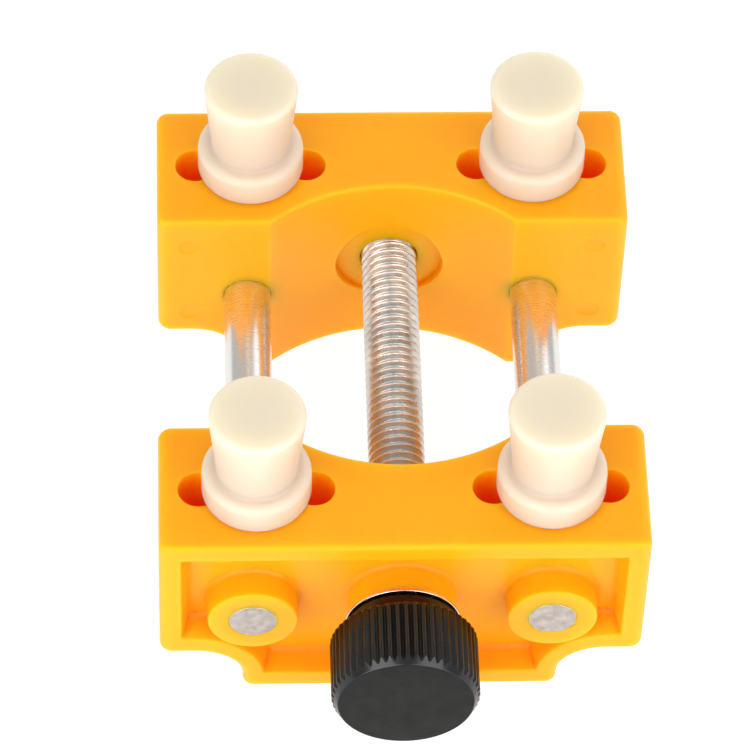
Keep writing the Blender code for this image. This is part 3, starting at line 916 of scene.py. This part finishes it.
class HOLDER_OT_retaining_clip(bpy.types.Operator):
    """Stamps the open clip that holds the lead screw in the front jaw"""
    bl_idname = "holder.retaining_clip"
    bl_label = "Retaining Clip"

    def execute(self, context):
        outer = (CLIP_HIGH.x - CLIP_LOW.x) / 2
        seat, relief = 0.0023, 0.0034
        near, far, ease = 16, 136, 14   # where the relief runs, in degrees from the middle
        mouth = math.radians(32)
        ends = (mouth - math.pi / 2, math.tau - mouth - math.pi / 2)
        steps = 72
        turns = [ends[0] + (ends[1] - ends[0]) * step / steps for step in range(steps + 1)]
        outline = [(outer * math.cos(turn), outer * math.sin(turn)) for turn in turns]
        for turn in reversed(turns):
            around = abs(math.degrees(turn - math.pi / 2))
            wave = min(1.0, max(0.0, (around - near) / ease), max(0.0, (far - around) / ease))
            radius = seat + (relief - seat) * wave * wave * (3 - 2 * wave)
            outline.append((radius * math.cos(turn), radius * math.sin(turn)))
        clip = lofted("retaining_clip_stamping", [
            [(x, y, AXIS_HEIGHT + z) for x, z in outline] for y in (CLIP_LOW.y, CLIP_HIGH.y)])
        edges = clip.modifiers.new("stamped edges", "BEVEL")
        edges.width = 0.00008
        edges.segments = 2
        edges.limit_method = "ANGLE"
        edges.angle_limit = math.radians(50)
        settle(clip)
        soften(clip, 40)
        fit(clip, "knob_spindle", "clip_steel", [clip_steel()], "retaining_clip")
        return {"FINISHED"}


class HOLDER_OT_insert(bpy.types.Operator):
    """Makes the knurled brass insert that the lead screw runs in"""
    bl_idname = "holder.insert"
    bl_label = "Threaded Insert"

    def execute(self, context):
        low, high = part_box("threaded_insert")
        outer = (high.z - low.z) / 2
        teeth, per_tooth = 40, 4
        inner = SCREW_RADIUS + 0.00003
        face = high.y - 0.00012
        profile = rounded([(inner + 0.0004, face, 0.00005), (outer - 0.00025, face, 0.0001),
                           (outer, face - 0.00025, 0.0001), (outer, low.y + 0.0002, 0.0001),
                           (outer - 0.0002, low.y), (inner, low.y), (inner, face - 0.0004)],
                          steps=2)
        shape = bmesh.new()
        turned(shape, profile, AXIS, (0, 1, 0), teeth * per_tooth, closed=True)
        for point in shape.verts:
            arm = Vector((point.co.x, 0, point.co.z - AXIS_HEIGHT))
            if arm.length > outer - 0.0001:
                turn = math.atan2(arm.z, arm.x) * teeth
                point.co -= arm.normalized() * 0.00016 * (0.5 + 0.5 * math.cos(turn))
        insert = to_object("threaded_insert_body", shape)
        soften(insert, 40)
        fit(insert, "rear_carriage", "insert_brass", [insert_brass()], "threaded_insert")
        return {"FINISHED"}


# ------------------------------------------------------------------ knob
def rib_rule():
    """Sinks evenly spaced grooves along a turned knob; they run out on its chamfers."""
    tree, given, out = new_rule("knob ribs", {
        "Ribs": 52, "Radius": 0.0076, "Depth": 0.00034, "Groove Fullness": 1.5,
        "Axis Height": AXIS_HEIGHT, "Face End": 0.0, "Material": None, "Face Material": None})
    _, turn, y, _, _ = about_axis(tree, given)
    wave = calc(tree, "COSINE", calc(tree, "MULTIPLY", turn, given.outputs["Ribs"]))
    wave = calc(tree, "MULTIPLY_ADD", wave, -0.5, 0.5)
    wave = calc(tree, "POWER", wave, given.outputs["Groove Fullness"])
    groove = calc(tree, "MULTIPLY", wave, given.outputs["Depth"])
    ribbed = trim_to(tree, given, calc(tree, "SUBTRACT", given.outputs["Radius"], groove))
    front = calc(tree, "LESS_THAN", y, given.outputs["Face End"])
    tree.links.new(painted(tree, ribbed, given.outputs["Face Material"], front),
                   out.inputs["Geometry"])
    return tree


class HOLDER_OT_knob(bpy.types.Operator):
    """Moulds the ribbed thumb knob with its collar"""
    bl_idname = "holder.knob"
    bl_label = "Knob"

    def execute(self, context):
        settings = context.scene.holder_knob
        front, back = KNOB_LOW.y, KNOB_HIGH.y
        radius = (KNOB_HIGH.z - KNOB_LOW.z) / 2
        chamfer, skirt, collar = 0.0010, 0.0075, 0.0058
        bore, bore_end = SCREW_RADIUS + 0.00005, SCREW_LOW.y - 0.0001
        rim, edge, rings = 0.00012, 0.0003, 14
        profile = [(0, front), (settings.face_radius * 0.5, front),
                   (settings.face_radius - rim, front)]
        profile += [(settings.face_radius - rim + rim * math.sin(turn), front + rim
                     * (1 - math.cos(turn)) * 0.6) for turn in quarter(3)[1:-1]]
        profile += [(settings.face_radius + (radius - settings.face_radius) * step / rings,
                     front + chamfer * step / rings) for step in range(1, rings + 1)]
        profile += [(radius, front + skirt * 0.4), (radius, front + skirt * 0.7)]
        profile += [(radius - edge * (1 - math.cos(turn)), front + skirt - edge
                     * (1 - math.sin(turn))) for turn in quarter(6)]
        profile += [(collar + 0.0002, front + skirt), (collar, front + skirt + 0.0002),
                    (collar, back - 0.0001), (collar - 0.0001, back),
                    (bore, back), (bore, bore_end), (0, bore_end)]
        knob = lathed("knob_moulding", profile, AXIS, (0, 1, 0), settings.ribs * 10)
        apply_rule(knob, rib_rule(), {
            "Ribs": settings.ribs, "Radius": radius, "Depth": settings.rib_depth,
            "Groove Fullness": settings.groove_width, "Axis Height": AXIS_HEIGHT,
            "Face End": front + 0.00003,
            "Material": knob_plastic("black knob plastic", settings.colour, (0.13, 0.22), 0.45),
            "Face Material": knob_plastic("matt knob face", settings.colour, (0.48, 0.60),
                                          0.22)})
        soften(knob, 38)
        fit(knob, "knob_spindle", "knob_plastic", [], "knob")
        return {"FINISHED"}


# ------------------------------------------------------------------ pegs
class HOLDER_OT_pegs(bpy.types.Operator):
    """Moulds the four nylon pegs"""
    bl_idname = "holder.pegs"
    bl_label = "Pegs"

    def execute(self, context):
        s = context.scene.holder_pegs
        nylon = peg_nylon(s.colour)
        top = PEG_HIGH.z - JAW_HEIGHT
        foot, stem, point = 0.00003, 0.0020, 0.0004
        bottom = PEG_LOW.z - JAW_HEIGHT
        dish, dish_floor, dish_rim, dish_edge = 0.00002, 0.0010, 0.0018, 0.0003
        head_edge, neck_fillet, flange_edge, foot_edge = 0.0006, 0.0005, 0.0009, 0.0004
        outline = [(0, top - dish), (dish_floor, top - dish, dish_edge),
                   (dish_rim, top, dish_edge), (s.head_radius, top, head_edge),
                   (s.neck_radius, s.flange_height, neck_fillet),
                   (s.flange_radius, s.flange_height, flange_edge),
                   (s.flange_radius, foot, foot_edge), (stem, foot), (stem, bottom + point),
                   (stem - point, bottom), (0, bottom)]
        profile = rounded(outline, False, 6)
        for name, x, face_y, inward, body in (
                ("peg_front_left", -1, FRONT_FACE_Y, 1, "front_left_peg"),
                ("peg_front_right", 1, FRONT_FACE_Y, 1, "front_right_peg"),
                ("peg_rear_left", -1, REAR_FACE_Y, -1, "rear_left_peg"),
                ("peg_rear_right", 1, REAR_FACE_Y, -1, "rear_right_peg")):
            place = (x * PEG_OFFSET, face_y + inward * PEG_INSET, JAW_HEIGHT)
            peg = lathed(name + "_moulding", profile, place, (0, 0, 1), 80)
            soften(peg, 40)
            fit(peg, body, "peg_nylon", [nylon], name)
        return {"FINISHED"}


# ------------------------------------------------------------------ stage
def soft_light(name, place, power):
    """A square softbox that faces the holder."""
    lamp = bpy.data.lights.new(name, "AREA")
    lamp.shape = "SQUARE"
    lamp.size = 0.50
    lamp.energy = power
    light = bpy.data.objects.new(name, lamp)
    bpy.context.scene.collection.objects.link(light)
    light.location = place
    light.rotation_mode = "QUATERNION"
    light.rotation_quaternion = (AXIS - Vector(place)).to_track_quat("-Z", "Y")


class HOLDER_OT_stage(bpy.types.Operator):
    """Sets out the pale floor, the soft light and the camera"""
    bl_idname = "holder.stage"
    bl_label = "Stage"

    def execute(self, context):
        s = context.scene.holder_stage
        scene = context.scene

        shape = bmesh.new()
        reach, sunk = 1.5, 0.00005      # just under the feet, so that they don't flicker
        corners = [shape.verts.new((x, y, -sunk)) for x, y in
                   ((-reach, -reach), (reach, -reach), (reach, reach), (-reach, reach))]
        shape.faces.new(corners)
        floor = to_object("floor", shape)
        paper, _ = new_finish("white paper", (0.25, 0.25, 0.25), 0.9, {
            "Emission Color": (1.0, 1.0, 1.0, 1.0), "Emission Strength": 0.88})
        floor.data.materials.append(paper)

        scene.world = scene.world or bpy.data.worlds.new("surroundings")
        scene.world.use_nodes = True
        sky = scene.world.node_tree.nodes["Background"]
        sky.inputs["Color"].default_value = (1.0, 1.0, 1.0, 1.0)
        sky.inputs["Strength"].default_value = s.sky

        soft_light("left softbox", (-0.31, -0.46, 0.34), s.left_power)
        soft_light("right softbox", (0.33, -0.45, 0.34), s.right_power)
        soft_light("back softbox", (0.20, 0.52, 0.24), s.back_power)

        lens = bpy.data.cameras.new("camera")
        lens.lens = s.lens
        lens.clip_start, lens.clip_end = 0.01, 10.0
        camera = bpy.data.objects.new("camera", lens)
        scene.collection.objects.link(camera)
        back = Vector((math.sin(s.azimuth) * math.cos(s.elevation),
                       -math.cos(s.azimuth) * math.cos(s.elevation), math.sin(s.elevation)))
        camera.location = Vector(s.target) + back * s.distance
        camera.rotation_mode = "QUATERNION"
        facing = (-back).to_track_quat("-Z", "Y")
        camera.rotation_quaternion = facing @ Quaternion((0, 0, 1), s.roll)
        scene.camera = camera
        scene.view_settings.view_transform = "Standard"
        scene.cycles.max_bounces = 32         # light deep inside the amber plastic
        scene.cycles.diffuse_bounces = 24
        return {"FINISHED"}


# ------------------------------------------------------------------ panel
class HOLDER_PT_panel(bpy.types.Panel):
    """Buttons and sizes for each piece of the holder"""
    bl_idname = "HOLDER_PT_panel"
    bl_label = "Watch Case Holder"
    bl_space_type = "VIEW_3D"
    bl_region_type = "UI"
    bl_category = "Holder"

    def draw(self, context):
        scene = context.scene
        for operators, settings in (
                ((HOLDER_OT_jaws,), scene.holder_jaws),
                ((HOLDER_OT_pegs,), scene.holder_pegs),
                ((HOLDER_OT_knob,), scene.holder_knob),
                ((HOLDER_OT_guide_rods, HOLDER_OT_lead_screw, HOLDER_OT_washers,
                  HOLDER_OT_retaining_clip, HOLDER_OT_insert), scene.holder_screw),
                ((HOLDER_OT_stage,), scene.holder_stage)):
            box = self.layout.box()
            for name in settings.__annotations__:
                box.prop(settings, name)
            for operator in operators:
                box.operator(operator.bl_idname)


SETTINGS = {"holder_jaws": JawSettings, "holder_pegs": PegSettings,
            "holder_knob": KnobSettings, "holder_screw": ScrewSettings,
            "holder_stage": StageSettings}
CLASSES = (*SETTINGS.values(), HOLDER_OT_jaws, HOLDER_OT_guide_rods, HOLDER_OT_lead_screw,
           HOLDER_OT_washers, HOLDER_OT_retaining_clip, HOLDER_OT_insert, HOLDER_OT_knob,
           HOLDER_OT_pegs, HOLDER_OT_stage, HOLDER_PT_panel)


def register():
    for item in CLASSES:
        bpy.utils.register_class(item)
    for name, settings in SETTINGS.items():
        setattr(bpy.types.Scene, name, PointerProperty(type=settings))


def unregister():
    for name in SETTINGS:
        delattr(bpy.types.Scene, name)
    for item in reversed(CLASSES):
        bpy.utils.unregister_class(item)


def main():
    register()
    bpy.ops.holder.stage()
    bpy.ops.holder.jaws()
    bpy.ops.holder.guide_rods()
    bpy.ops.holder.lead_screw()
    bpy.ops.holder.washers()
    bpy.ops.holder.retaining_clip()
    bpy.ops.holder.insert()
    bpy.ops.holder.knob()
    bpy.ops.holder.pegs()


if __name__ == "__main__":
    main()
